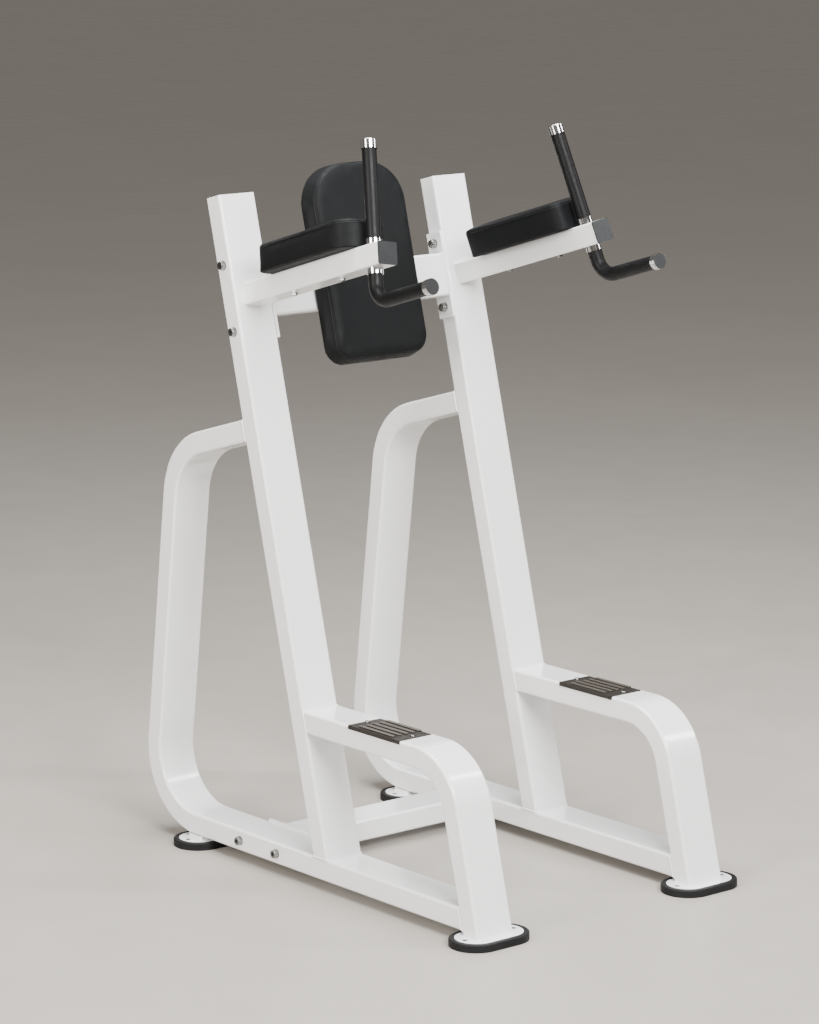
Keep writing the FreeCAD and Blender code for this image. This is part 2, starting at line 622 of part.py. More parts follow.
def round_section(arm, high, radius):
    return Part.Wire([Part.makeCircle(radius, arm.point(HANDLE_BACK, 0, high), arm.up)])


def pipe(arm, high, reach, outer, inner):
    path = handle_path(arm, high, reach)
    return swept(path, round_section(arm, high, outer)).cut(swept(path, round_section(arm, high, inner)))


def handle_tube(arm):
    return pipe(arm, CAP_HIGH - 6, DIP_REACH - PLUG_T, HANDLE_R, HANDLE_R - HANDLE_WALL)


def upper_grip(arm):
    start = arm.point(HANDLE_BACK, 0, GRIP_LOW)
    length = GRIP_HIGH - GRIP_LOW
    return rod(GRIP_R, start, arm.up, length).cut(rod(HANDLE_R, start, arm.up, length))


def dip_grip(arm):
    return pipe(arm, COLLAR_LOW, DIP_REACH - RING_L, GRIP_R, HANDLE_R)


def handle_top_cap(arm):
    start = arm.point(HANDLE_BACK, 0, GRIP_HIGH)
    height = CAP_HIGH - GRIP_HIGH
    cap = rod(COLLAR_R, start, arm.up, height)
    top = arm.point(HANDLE_BACK, 0, CAP_HIGH)
    cap = cap.makeFillet(1.5, [e for e in cap.Edges if e.CenterOfMass.distanceToPoint(top) < 0.5])
    return cap.cut(rod(HANDLE_R, start, arm.up, height - 6))


def handle_collars(arm):
    half = ARM_D / 2
    spans = [(half, GRIP_LOW), (COLLAR_LOW, -half)]
    rings = []
    for low, high in spans:
        start = arm.point(HANDLE_BACK, 0, low)
        rings.append(rod(COLLAR_R, start, arm.up, high - low).cut(rod(HANDLE_R, start, arm.up, high - low)))
    return rings


def handle_end_ring(arm):
    start = arm.point(-(DIP_REACH - RING_L), 0, -DIP_DROP)
    ring = rod(COLLAR_R, start, arm.ahead, RING_L)
    ring = ring.cut(rod(HANDLE_R, start, arm.ahead, RING_L))
    return ring.cut(rod(PLUG_R, start + arm.ahead * (RING_L - PLUG_T), arm.ahead, PLUG_T + 1))


def handle_end_plug(arm):
    face = arm.point(-(DIP_REACH - PLUG_T), 0, -DIP_DROP)
    disc = rod(PLUG_R, face, arm.ahead, PLUG_T)
    stem = rod(HANDLE_R - HANDLE_WALL, face, arm.ahead * -1, 12)
    return disc.fuse(stem)


# ---- build ---------------------------------------------------------------------------------------
os.makedirs("parts", exist_ok=True)

foot_screws, tread_screws = [], []
bolts = {"upper": [], "lower": []}
washers = {"upper": [], "lower": []}
nuts = {"upper": [], "lower": []}
arm_bolts, arm_nuts, top_caps, collars, end_rings, end_plugs = [], [], [], [], [], []

for name, side in SIDES.items():
    x = side * FRAME_X
    save(base_hoop(x), "base_hoop_" + name)
    save(upright(x), "upright_" + name)
    save(step_leg(x), "step_leg_" + name)
    save(upright_cap(x), "upright_cap_" + name)
    save(rear_stub(x), "rear_foot_stub_" + name)
    save(step_tread(x), "step_tread_" + name)
    tread_screws += [tread_screw(x, y) for y in TREAD_SCREW_Y]
    for end, y in (("front", FOOT_FRONT_Y), ("rear", FOOT_REAR_Y)):
        save(foot_pad(x, y), "foot_pad_%s_%s" % (end, name))
        save(foot_plate(x, y), "foot_plate_%s_%s" % (end, name))
        foot_screws += [foot_screw(p) for p in foot_screw_places(x, y)]
    save(upper_end_plate(side), "upper_end_plate_" + name)
    save(lower_end_plate(side), "lower_end_plate_" + name)
    for level, places in (("upper", upper_bolt_places()), ("lower", lower_bolt_places())):
        for p in places:
            bolts[level].append(socket_bolt(p, side))
            washers[level] += bolt_washers(p, side)
            nuts[level].append(bolt_nut(p, side))
    arm = Arm(side)
    save(arm_tube(arm), "arm_tube_" + name)
    save(arm_end_cap(arm), "arm_end_cap_" + name)
    save(arm_pad_cushion(arm), "arm_pad_cushion_" + name)
    save(arm_pad_board(arm), "arm_pad_board_" + name)
    save(handle_tube(arm), "handle_tube_" + name)
    save(upper_grip(arm), "upper_grip_" + name)
    save(dip_grip(arm), "dip_grip_" + name)
    arm_bolts += [arm_bolt(arm, s) for s in ARM_BOLT_AT]
    arm_nuts += [insert_nut(s, 0, ARM_BOARD_T, arm.plan(ARM_D / 2)) for s in ARM_BOLT_AT]
    top_caps.append(handle_top_cap(arm))
    collars += handle_collars(arm)
    end_rings.append(handle_end_ring(arm))
    end_plugs.append(handle_end_plug(arm))

save(upper_crossbeam(), "upper_crossbeam")
save(lower_crossbar(), "lower_crossbar")
for level in ("upper", "lower"):
    save(group(bolts[level]), level + "_frame_bolts")
    save(group(washers[level]), level + "_bolt_washers")
    save(group(nuts[level]), level + "_bolt_nuts")
save(group(foot_screws), "foot_plate_screws")
save(group(tread_screws), "tread_screws")
save(back_cushion(), "back_pad_cushion")
save(back_board(), "back_pad_board")
save(back_mount_plate(), "back_pad_mount_plate")
save(group([back_bolt(x, v) for x, v in back_bolt_places()]), "back_pad_bolts")
back_nuts = [insert_nut(x, v, BOARD_T, back_frame(MOUNT_T)) for x, v in back_bolt_places()]
save(group(back_nuts), "back_pad_insert_nuts")
save(group(arm_bolts), "arm_pad_bolts")
save(group(arm_nuts), "arm_pad_insert_nuts")
save(group(top_caps), "handle_top_caps")
save(group(collars), "handle_collars")
save(group(end_rings), "handle_end_rings")
save(group(end_plugs), "handle_end_plugs")
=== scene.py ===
import json
from math import cos, radians, sin, tan

import bpy
from bpy.props import FloatProperty, FloatVectorProperty, PointerProperty
from mathutils import Matrix, Vector


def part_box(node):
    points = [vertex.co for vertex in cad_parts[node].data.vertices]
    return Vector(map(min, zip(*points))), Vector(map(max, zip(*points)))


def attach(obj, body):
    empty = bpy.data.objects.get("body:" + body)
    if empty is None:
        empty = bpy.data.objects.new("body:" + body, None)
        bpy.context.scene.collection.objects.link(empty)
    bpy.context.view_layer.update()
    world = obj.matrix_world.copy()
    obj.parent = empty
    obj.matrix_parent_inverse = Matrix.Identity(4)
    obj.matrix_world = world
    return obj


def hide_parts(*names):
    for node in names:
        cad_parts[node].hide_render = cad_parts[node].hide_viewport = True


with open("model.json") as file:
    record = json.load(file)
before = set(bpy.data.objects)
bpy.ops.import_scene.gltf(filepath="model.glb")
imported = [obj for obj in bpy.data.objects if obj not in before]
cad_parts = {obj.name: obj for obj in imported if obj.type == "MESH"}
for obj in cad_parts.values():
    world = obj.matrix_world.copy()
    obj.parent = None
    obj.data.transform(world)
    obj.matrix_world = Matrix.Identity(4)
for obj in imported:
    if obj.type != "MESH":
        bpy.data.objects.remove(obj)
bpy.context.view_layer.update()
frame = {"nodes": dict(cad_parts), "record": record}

# Looks of a vertical knee raise and dip station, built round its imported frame.
# Metres and radians.  +Z up, the user faces -Y.  "left" is the -X side.

bl_info = {
    "name": "Knee Raise Station",
    "version": (1, 0, 0),
    "blender": (4, 5, 0),
    "location": "View3D > Sidebar > Station",
    "description": "Builds the upholstery, welds, finishes and studio of a knee raise and dip station",
    "category": "Object",
}

NODES = frame["nodes"]
SIDES = {"left": -1, "right": 1}

# ---- directions and places of the frame --------------------------------------------------------------
LEAN = radians(14.6)               # uprights and front legs lean back
ARM_RISE = radians(16.5)           # arms climb towards the front
ARM_ROLL = radians(9.5)            # arm tops lean inward
HOOP_RISE = radians(16.3)          # top run of the rear hoop
X_AXIS = Vector((1, 0, 0))
Y_AXIS = Vector((0, 1, 0))
Z_AXIS = Vector((0, 0, 1))
UPRIGHT_DIR = Vector((0, sin(LEAN), cos(LEAN)))
UPRIGHT_OUT = Vector((0, -cos(LEAN), sin(LEAN)))


def middle(node):
    low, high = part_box(node)
    return (low + high) / 2


FRAME_X = abs(middle("upright_left").x)
TUBE_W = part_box("upright_left")[1].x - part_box("upright_left")[0].x
TUBE_D = TUBE_W / 2
FRAME_TUBE = (TUBE_W, TUBE_D)
TUBE_R = 0.006                     # corners of the frame tube
ARM_R = 0.004                      # corners of the arm tube
RAIL_TOP = 0.075
PLATE_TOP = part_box("foot_plate_front_left")[1].z
RIB_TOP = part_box("step_tread_left")[1].z
RIB_H = 0.0026                     # ribs above the tread's plate
TREAD_H = 0.0046                   # tread plate and ribs
STEP_TOP = RIB_TOP - TREAD_H
UPRIGHT_FOOT_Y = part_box("upright_left")[0].y
DATUM_Z = 0.8
DATUM = Vector((0, UPRIGHT_FOOT_Y + (DATUM_Z - RAIL_TOP) * tan(LEAN), DATUM_Z))
CAP_TO_END = 0.0055                # from the middle of an arm's end cap to the end of its tube


def on_upright(x, along, out):
    """A point given by its distance along the upright and in front of its front face."""
    return Vector((x, 0, 0)) + DATUM + UPRIGHT_DIR * along + UPRIGHT_OUT * out


class ArmAxes:
    """Directions of one arm: ahead along it, inward across it and up square to it."""

    def __init__(self, side):
        inward = Vector((-side, 0, 0))
        level_up = Vector((0, sin(ARM_RISE), cos(ARM_RISE)))
        self.ahead = Vector((0, -cos(ARM_RISE), sin(ARM_RISE)))
        self.inward = inward * cos(ARM_ROLL) - level_up * sin(ARM_ROLL)
        self.up = level_up * cos(ARM_ROLL) + inward * sin(ARM_ROLL)
        name = "left" if side < 0 else "right"
        self.end = middle("arm_end_cap_" + name) + self.ahead * CAP_TO_END

    def point(self, back, inward, up):
        return self.end - self.ahead * back + self.inward * inward + self.up * up


# ---- settings ----------------------------------------------------------------------------------------
def colour(name, description, default):
    return FloatVectorProperty(name=name, description=description, subtype="COLOR", size=3,
                               min=0, max=1, default=default)


def length(name, description, default):
    return FloatProperty(name=name, description=description, default=default, min=0,
                         subtype="DISTANCE", unit="LENGTH", precision=4)


class StationFinish(bpy.types.PropertyGroup):
    """Colours of the finishes."""
    paint: colour("Powder coat", "Gloss powder coat of the frame", (0.84, 0.843, 0.846))
    vinyl: colour("Pad vinyl", "Grained vinyl of the three pads", (0.0062, 0.0067, 0.0072))
    rubber: colour("Foot rubber", "Rubber of the foot pads", (0.008, 0.008, 0.0085))
    grip: colour("Grip rubber", "Rubber sleeves on the handles", (0.0036, 0.0036, 0.0039))
    tread: colour("Tread metal", "Ribs of the step treads", (0.115, 0.102, 0.088))
    cap: colour("Arm end cap", "Plastic caps in the arm ends", (0.020, 0.0213, 0.0225))


class StationPads(bpy.types.PropertyGroup):
    """Shape of the pads."""
    voxel: length("Voxel", "Size of the remesh before the foam swells", 0.0045)
    pressure: FloatProperty(name="Pressure", description="Pressure of the foam in the cloth", default=4.0)
    swell: length("Swell", "Farthest that a point may move as the foam swells", 0.002)
    welt: length("Seam radius", "Radius of the sewn seam round each pad", 0.0009)


class StationWelds(bpy.types.PropertyGroup):
    """Weld beads between the tubes."""
    bead: length("Bead radius", "Radius of the weld beads", 0.0022)


# ---- materials ---------------------------------------------------------------------------------------
class Finish:
    """A material with its principled shader and short ways to add procedural detail."""

    def __init__(self, name):
        self.material = bpy.data.materials.new(name)
        self.material.use_nodes = True
        self.tree = self.material.node_tree
        self.shader = self.tree.nodes["Principled BSDF"]
        self.place = self.node("ShaderNodeTexCoord").outputs["Object"]

    def node(self, kind, **values):
        made = self.tree.nodes.new(kind)
        for key, value in values.items():
            setattr(made, key, value)
        return made

    def link(self, source, target):
        self.tree.links.new(source, target)

    def set(self, **values):
        for key, value in values.items():
            self.shader.inputs[key.replace("_", " ")].default_value = value

    def mapped(self, scale):
        mapping = self.node("ShaderNodeMapping")
        mapping.inputs["Scale"].default_value = scale
        self.link(self.place, mapping.inputs["Vector"])
        return mapping.outputs["Vector"]

    def noise(self, scale, detail=3.0, roughness=0.5, vector=None):
        made = self.node("ShaderNodeTexNoise")
        made.inputs["Scale"].default_value = scale
        made.inputs["Detail"].default_value = detail
        made.inputs["Roughness"].default_value = roughness
        self.link(vector or self.place, made.inputs["Vector"])
        return made.outputs["Fac"]

    def cells(self, scale):
        made = self.node("ShaderNodeTexVoronoi")
        made.inputs["Scale"].default_value = scale
        self.link(self.place, made.inputs["Vector"])
        return made.outputs["Distance"]

    def fit(self, value, low, high, to_low, to_high):
        made = self.node("ShaderNodeMapRange")
        for key, number in (("From Min", low), ("From Max", high), ("To Min", to_low), ("To Max", to_high)):
            made.inputs[key].default_value = number
        self.link(value, made.inputs["Value"])
        return made.outputs["Result"]

    def blend(self, factor, first, second):
        """Mix of two colours, each a socket or three numbers."""
        made = self.node("ShaderNodeMix", data_type="RGBA")
        self.link(factor, made.inputs[0])
        for socket, value in ((made.inputs[6], first), (made.inputs[7], second)):
            if isinstance(value, bpy.types.NodeSocket):
                self.link(value, socket)
            else:
                socket.default_value = (*value, 1)
        return made.outputs[2]

    def colour(self, value):
        self.link(value, self.shader.inputs["Base Color"])

    def roughness(self, value):
        self.link(value, self.shader.inputs["Roughness"])

    def bump(self, height, distance, strength, under=None):
        made = self.node("ShaderNodeBump")
        made.inputs["Strength"].default_value = strength
        made.inputs["Distance"].default_value = distance
        self.link(height, made.inputs["Height"])
        if under is not None:
            self.link(under, made.inputs["Normal"])
        return made.outputs["Normal"]

    def normal(self, value):
        self.link(value, self.shader.inputs["Normal"])


def shade(rgb, factor):
    return tuple(min(1.0, c * factor) for c in rgb)


def powder_coat(settings):
    """Gloss white powder coat: faint orange peel and a slightly uneven gloss."""
    f = Finish("white_powder_coat")
    base = tuple(settings.paint)
    patches = f.fit(f.noise(5.0, 3.0, 0.6), 0.3, 0.7, 0, 1)
    f.colour(f.blend(patches, shade(base, 0.985), shade(base, 1.01)))
    f.roughness(f.fit(f.noise(30.0, 4.0, 0.6), 0.3, 0.7, 0.13, 0.22))
    peel = f.bump(f.noise(300.0, 2.0), 0.00008, 0.35)
    f.normal(f.bump(f.noise(16.0, 1.0), 0.0005, 0.10, peel))
    f.set(Coat_Weight=0.5, Coat_Roughness=0.04, IOR=1.52)
    return f.material


def weld_paint(settings):
    """The powder coat over a weld: the bead's ripples show through it, with painted shade in their low
    points.
    """
    f = Finish("painted_weld")
    base = tuple(settings.paint)
    ripples = f.noise(260.0, 3.0, 0.6)
    # painted shade: the ripples' low points are coloured a little darker; the same noise gives the bump
    f.colour(f.blend(ripples, shade(base, 0.95), base))
    f.roughness(f.fit(f.noise(90.0), 0.3, 0.7, 0.18, 0.30))
    f.normal(f.bump(ripples, 0.0006, 0.5))
    f.set(Coat_Weight=0.4, Coat_Roughness=0.06)
    return f.material


def vinyl(settings):
    """Black upholstery vinyl: pebbled grain, soft creases and worn sheen."""
    f = Finish("grained_vinyl")
    base = tuple(settings.vinyl)
    tone = f.fit(f.noise(9.0, 4.0, 0.6), 0.3, 0.7, 0, 1)
    grain = f.cells(620.0)
    mottled = f.blend(tone, shade(base, 0.82), shade(base, 1.22))
    f.colour(f.blend(f.fit(grain, 0.1, 0.6, 0, 0.5), mottled, shade(base, 0.7)))
    f.roughness(f.fit(f.noise(60.0, 4.0, 0.6), 0.3, 0.7, 0.50, 0.62))
    pebble = f.bump(grain, 0.00022, 0.55)
    fine = f.bump(f.noise(1500.0, 2.0), 0.0001, 0.35, pebble)
    pulls = f.bump(f.noise(1.0, 2.0, 0.5, f.mapped((34, 9, 5))), 0.0011, 0.35, fine)
    f.normal(f.bump(f.noise(11.0, 2.0), 0.0016, 0.22, pulls))
    f.set(Specular_IOR_Level=0.11)
    return f.material


def vinyl_welt(settings):
    """The sewn welt: the same vinyl, pulled tight, its colour painted lighter as a highlight along the seam.
    """
    f = Finish("vinyl_welt")
    # painted highlight: the welt is coloured lighter than the vinyl, in place of the highlight along the
    # seam
    base = shade(tuple(settings.vinyl), 1.2)
    f.colour(f.blend(f.fit(f.noise(40.0), 0.3, 0.7, 0, 1), base, shade(base, 1.3)))
    f.roughness(f.fit(f.noise(90.0), 0.3, 0.7, 0.40, 0.50))
    f.normal(f.bump(f.cells(700.0), 0.0002, 0.4))
    f.set(Specular_IOR_Level=0.16)
    return f.material


def rubber(name, base, low, high, grain):
    """Moulded rubber with fine grain and a dusty bloom."""
    f = Finish(name)
    bloom = f.fit(f.noise(18.0, 5.0, 0.65), 0.35, 0.75, 0, 1)
    f.colour(f.blend(bloom, base, shade(base, 1.55)))
    f.roughness(f.fit(f.noise(70.0, 4.0), 0.3, 0.7, low, high))
    f.normal(f.bump(f.noise(grain, 2.0), 0.00012, 0.5))
    f.set(Specular_IOR_Level=0.16)
    return f.material


def chrome(name, low, high, tint):
    """Polished plating with faint haze and turning marks."""
    f = Finish(name)
    f.set(Metallic=1.0)
    f.colour(f.blend(f.noise(30.0), tint, shade(tint, 0.93)))
    f.roughness(f.fit(f.noise(55.0, 4.0), 0.3, 0.7, low, high))
    f.normal(f.bump(f.noise(900.0, 1.0), 0.00002, 0.3))
    return f.material


def recess_shade_mask(f, reach):
    """Mask for painted shade, from ambient occlusion: 0 deep in recesses and corners, 1 in the open."""
    made = f.node("ShaderNodeAmbientOcclusion", samples=8, only_local=True)
    made.inputs["Distance"].default_value = reach
    return f.fit(made.outputs["AO"], 0.35, 0.85, 0, 1)


def zinc(settings):
    """Bright zinc plate: slightly cloudy, with painted shade in the recesses: near black and less metallic
    there.
    """
    f = Finish("zinc_plate")
    cloud = f.fit(f.noise(140.0, 4.0), 0.3, 0.7, 0, 1)
    plate = f.blend(cloud, (0.22, 0.22, 0.215), (0.36, 0.36, 0.35))
    # painted shade: the ambient occlusion mask colours recesses near black and lowers their metallic
    outside_recess_shade = recess_shade_mask(f, 0.006)
    f.colour(f.blend(outside_recess_shade, (0.012, 0.012, 0.013), plate))
    f.link(f.fit(outside_recess_shade, 0, 1, 0.2, 1.0), f.shader.inputs["Metallic"])
    f.roughness(f.fit(cloud, 0, 1, 0.16, 0.28))
    f.normal(f.bump(f.noise(1200.0, 1.0), 0.00004, 0.4))
    return f.material


def moulded_plastic(name, base, low, high):
    """Satin moulded plastic with a spark-eroded grain."""
    f = Finish(name)
    f.colour(f.blend(f.fit(f.noise(25.0, 3.0), 0.3, 0.7, 0, 1), shade(base, 0.93), shade(base, 1.07)))
    f.roughness(f.fit(f.noise(120.0, 3.0), 0.3, 0.7, low, high))
    f.normal(f.bump(f.noise(1100.0, 2.0), 0.00006, 0.5))
    f.set(Specular_IOR_Level=0.22)
    return f.material


def dark_screw():
    """Blackened steel, rubbed brighter in places, with painted shade in its recesses."""
    f = Finish("blackened_steel")
    f.set(Metallic=0.7)
    rubbed = f.fit(f.noise(260.0, 4.0), 0.35, 0.75, 0, 1)
    dark = f.blend(rubbed, (0.030, 0.030, 0.031), (0.10, 0.10, 0.10))
    # painted shade: recesses found by ambient occlusion are coloured near black
    f.colour(f.blend(recess_shade_mask(f, 0.006), (0.006, 0.006, 0.006), dark))
    f.roughness(f.fit(rubbed, 0, 1, 0.30, 0.45))
    f.normal(f.bump(f.noise(1200.0, 1.0), 0.00004, 0.4))
    return f.material


def tread_metal(settings):
    """Brushed ribs that catch the light over dull grooves; below the rib tops the plate is painted near
    black as painted shade.
    """
    f = Finish("ribbed_tread")
    f.set(Metallic=0.6)
    base = tuple(settings.tread)
    plate_z = RIB_TOP - RIB_H
    split = f.node("ShaderNodeSeparateXYZ")
    f.link(f.place, split.inputs[0])
    # painted shade: the plate below the rib tops, grooves and flat ends, is coloured near black; the rib
    # tops keep the brushed colour
    height = f.fit(split.outputs["Z"], plate_z + 0.0008, plate_z + 0.0022, 0, 1)
    streaks = f.noise(1.0, 5.0, 0.6, f.mapped((900, 14, 900)))
    worn = f.blend(f.fit(streaks, 0.3, 0.7, 0, 1), shade(base, 0.8), shade(base, 1.2))
    dark = f.blend(f.noise(120.0), (0.022, 0.020, 0.019), (0.055, 0.047, 0.040))
    f.colour(f.blend(height, dark, worn))
    f.roughness(f.fit(streaks, 0.3, 0.7, 0.34, 0.52))
    f.normal(f.bump(streaks, 0.00008, 0.5))
    return f.material


def backing_cloth(settings):
    """Black woven backing stapled over the pad boards."""
    f = Finish("black_backing")
    weave = f.cells(1100.0)
    f.colour(f.blend(f.fit(weave, 0.1, 0.6, 0, 1), (0.006, 0.006, 0.0065), (0.020, 0.020, 0.021)))
    f.roughness(f.fit(f.noise(80.0, 3.0), 0.3, 0.7, 0.7, 0.85))
    f.normal(f.bump(weave, 0.0002, 0.5))
    f.set(Specular_IOR_Level=0.25)
    return f.material


def paint_node(name, material):
    mesh = NODES[name].data
    mesh.materials.clear()
    mesh.materials.append(material)


def material_of(name, make, *values):
    """The finish of that name, made once."""
    return bpy.data.materials.get(name) or make(*values)


# ---- modelling helpers -------------------------------------------------------------------------------
def clear_selection():
    if bpy.context.mode != "OBJECT":
        bpy.ops.object.mode_set(mode="OBJECT")
    bpy.ops.object.select_all(action="DESELECT")


def take(obj):
    """Make obj the only selected and active object."""
    clear_selection()
    obj.select_set(True)
    bpy.context.view_layer.objects.active = obj


def pick(obj, kind, wanted):
    """Select the faces, edges or vertices of obj that wanted() accepts, and stay in edit mode."""
    take(obj)
    bpy.ops.object.mode_set(mode="EDIT")
    bpy.ops.mesh.select_mode(type=kind)
    bpy.ops.mesh.select_all(action="DESELECT")
    bpy.ops.object.mode_set(mode="OBJECT")
    parts = {"FACE": obj.data.polygons, "EDGE": obj.data.edges, "VERT": obj.data.vertices}[kind]
    for part in parts:
        part.select = bool(wanted(part))
    bpy.ops.object.mode_set(mode="EDIT")


def axes_matrix(origin, x_dir, y_dir, z_dir):
    return Matrix((
        (x_dir.x, y_dir.x, z_dir.x, origin.x),
        (x_dir.y, y_dir.y, z_dir.y, origin.y),
        (x_dir.z, y_dir.z, z_dir.z, origin.z),
        (0, 0, 0, 1)))


def settle(obj, matrix):
    """Put a piece modelled at the origin in its place, with the place in its mesh."""
    obj.matrix_world = matrix
    take(obj)
    bpy.ops.object.transform_apply(location=True, rotation=True, scale=True)


def apply_modifiers(obj):
    take(obj)
    for modifier in list(obj.modifiers):
        bpy.ops.object.modifier_apply(modifier=modifier.name)


def finish_piece(obj, name, material):
    obj.name = name
    obj.data.name = name
    obj.data.materials.clear()
    obj.data.materials.append(material)
    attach(obj, "root")


# ---- outlines, seams and welds -----------------------------------------------------------------------
def rounded_plane(width, height, radius):
    """A flat rectangle round the origin whose corners are rounded."""
    clear_selection()
    bpy.ops.mesh.primitive_plane_add(size=1)
    obj = bpy.context.active_object
    obj.scale = (width, height, 1)
    bpy.ops.object.transform_apply(location=False, rotation=False, scale=True)
    pick(obj, "VERT", lambda vertex: True)
    bpy.ops.mesh.bevel(offset=radius, segments=6, affect="VERTICES")
    bpy.ops.object.mode_set(mode="OBJECT")
    return obj


def keep_outline(obj):
    """Leave only the edge of a flat face."""
    pick(obj, "FACE", lambda face: True)
    bpy.ops.mesh.delete(type="ONLY_FACE")
    bpy.ops.object.mode_set(mode="OBJECT")


def tube_along(obj, radius):
    """Turn a mesh made of edges into a round bead of that radius."""
    take(obj)
    bpy.ops.object.convert(target="CURVE")
    obj = bpy.context.active_object
    obj.data.bevel_depth = radius
    obj.data.bevel_resolution = 2
    obj.data.use_fill_caps = True
    bpy.ops.object.convert(target="MESH")
    obj = bpy.context.active_object
    pick(obj, "FACE", lambda face: True)
    bpy.ops.mesh.normals_make_consistent(inside=False)
    bpy.ops.object.mode_set(mode="OBJECT")
    bpy.ops.object.shade_smooth()
    return obj


class Section:
    """Rounded rectangular section of a tube, given by its centre, two sides and the tube's direction."""

    def __init__(self, centre, across, up, along, size=FRAME_TUBE, radius=TUBE_R):
        self.centre, self.across, self.up, self.along = centre, across, up, along
        self.size, self.radius = size, radius

    def onto(self, point, plane_point, normal):
        """Where a line along the tube from the point meets the plane."""
        return point + self.along * ((plane_point - point).dot(normal) / self.along.dot(normal))

    def bead(self, name, plane_point, normal, radius, material):
        """Weld bead round the section where the tube meets the plane."""
        obj = rounded_plane(*self.size, self.radius)
        keep_outline(obj)
        middle_at = self.onto(self.centre, plane_point, normal)
        x_dir = self.onto(self.centre + self.across, plane_point, normal) - middle_at
        y_dir = self.onto(self.centre + self.up, plane_point, normal) - middle_at
        obj.data.transform(axes_matrix(middle_at, x_dir, y_dir, normal))
        obj = tube_along(obj, radius)
        finish_piece(obj, name, material)


def straight_bead(name, start, end, radius, material):
    """Weld bead along a straight line."""
    clear_selection()
    bpy.ops.mesh.primitive_plane_add(size=1)
    obj = bpy.context.active_object
    pick(obj, "VERT", lambda vertex: vertex.co.y > 0)
    bpy.ops.mesh.delete(type="VERT")
    bpy.ops.object.mode_set(mode="OBJECT")
    first, second = sorted(obj.data.vertices, key=lambda vertex: vertex.co.x)
    first.co, second.co = start, end
    obj = tube_along(obj, radius)
    finish_piece(obj, name, material)


HOOP_TOP_Y, HOOP_TOP_Z = 0.2385, 1.030     # a point on the top face of the hoop's top run
LEG_FOOT_Y = -0.5855                       # where the front face of a front leg would meet the floor
FOOT_REAR_Y = middle("foot_plate_rear_left").y
LOWER_Y = middle("lower_crossbar").y
BEAM_LOW, BEAM_HIGH = 0.4715, 0.5715       # upper cross tube, along the upright
MOUNT_HALF = 0.095                         # half the width of the back pad's mounting plate


class STATION_OT_welds(bpy.types.Operator):
    """Painted weld beads where tubes and plates meet"""
    bl_idname = "station.welds"
    bl_label = "Welds"

    def execute(self, context):
        bead = context.scene.station_welds.bead
        material = material_of("painted_weld", weld_paint, context.scene.station_finish)
        leg_rear = LEG_FOOT_Y + TUBE_D / cos(LEAN)
        leg_middle = LEG_FOOT_Y + TUBE_D / 2 / cos(LEAN)
        run = Vector((0, -cos(HOOP_RISE), sin(HOOP_RISE)))
        hoop_z = HOOP_TOP_Z - TUBE_D / 2 / cos(HOOP_RISE)
        step_z = STEP_TOP - TUBE_D / 2
        rail_z = RAIL_TOP - TUBE_D / 2
        beam = on_upright(0, (BEAM_LOW + BEAM_HIGH) / 2, -TUBE_D / 2)
        for name, side in SIDES.items():
            x = side * FRAME_X
            front = on_upright(x, 0, 0)
            rear = on_upright(x, 0, -TUBE_D)
            end = Vector((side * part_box("upper_crossbeam")[1].x, 0, 0))
            arm = ArmAxes(side)
            joints = {
                "arm_root": (Section(arm.end, arm.inward, arm.up, arm.ahead, (TUBE_D, TUBE_D), ARM_R),
                             front, UPRIGHT_OUT),
                "step_root": (Section(Vector((x, 0, step_z)), X_AXIS, Z_AXIS, Y_AXIS), front, UPRIGHT_OUT),
                "hoop_top": (Section(Vector((x, HOOP_TOP_Y, hoop_z)), X_AXIS, X_AXIS.cross(run), run),
                             rear, UPRIGHT_OUT),
                "upright_foot": (Section(on_upright(x, 0, -TUBE_D / 2), X_AXIS, UPRIGHT_OUT, UPRIGHT_DIR),
                                 Vector((x, 0, RAIL_TOP)), Z_AXIS),
                "rail_end": (Section(Vector((x, 0, rail_z)), X_AXIS, Z_AXIS, Y_AXIS),
                             Vector((x, leg_rear, 0)), UPRIGHT_OUT),
                "leg_foot": (Section(Vector((x, leg_middle, 0)), X_AXIS, UPRIGHT_OUT, UPRIGHT_DIR),
                             Vector((x, 0, PLATE_TOP)), Z_AXIS),
                "stub_foot": (Section(Vector((x, FOOT_REAR_Y, 0)), X_AXIS, Y_AXIS, Z_AXIS),
                              Vector((x, 0, PLATE_TOP)), Z_AXIS),
                "beam_end": (Section(beam, UPRIGHT_DIR, UPRIGHT_OUT, X_AXIS), end, X_AXIS),
                "crossbar_end": (Section(Vector((0, LOWER_Y, rail_z)), Y_AXIS, Z_AXIS, X_AXIS), end, X_AXIS),
            }
            for joint, (section, point, normal) in joints.items():
                section.bead("weld_%s_%s" % (joint, name), point, normal, bead, material)
        for edge, along in (("low", BEAM_LOW), ("high", BEAM_HIGH)):
            straight_bead("weld_pad_mount_" + edge, on_upright(-MOUNT_HALF, along, 0),
                          on_upright(MOUNT_HALF, along, 0), bead, material)
        return {"FINISHED"}


# ---- pads --------------------------------------------------------------------------------------------
CLEAR = 0.0005          # the cover starts this far off the board's rear face
SWELL_ROOM = 0.0006     # the block is this much smaller than the pad, to leave room for the foam
FOAM_FRAMES = 20
CLOTH_STRETCH, CLOTH_BEND = 60, 12
EASE_ROUNDS = 8


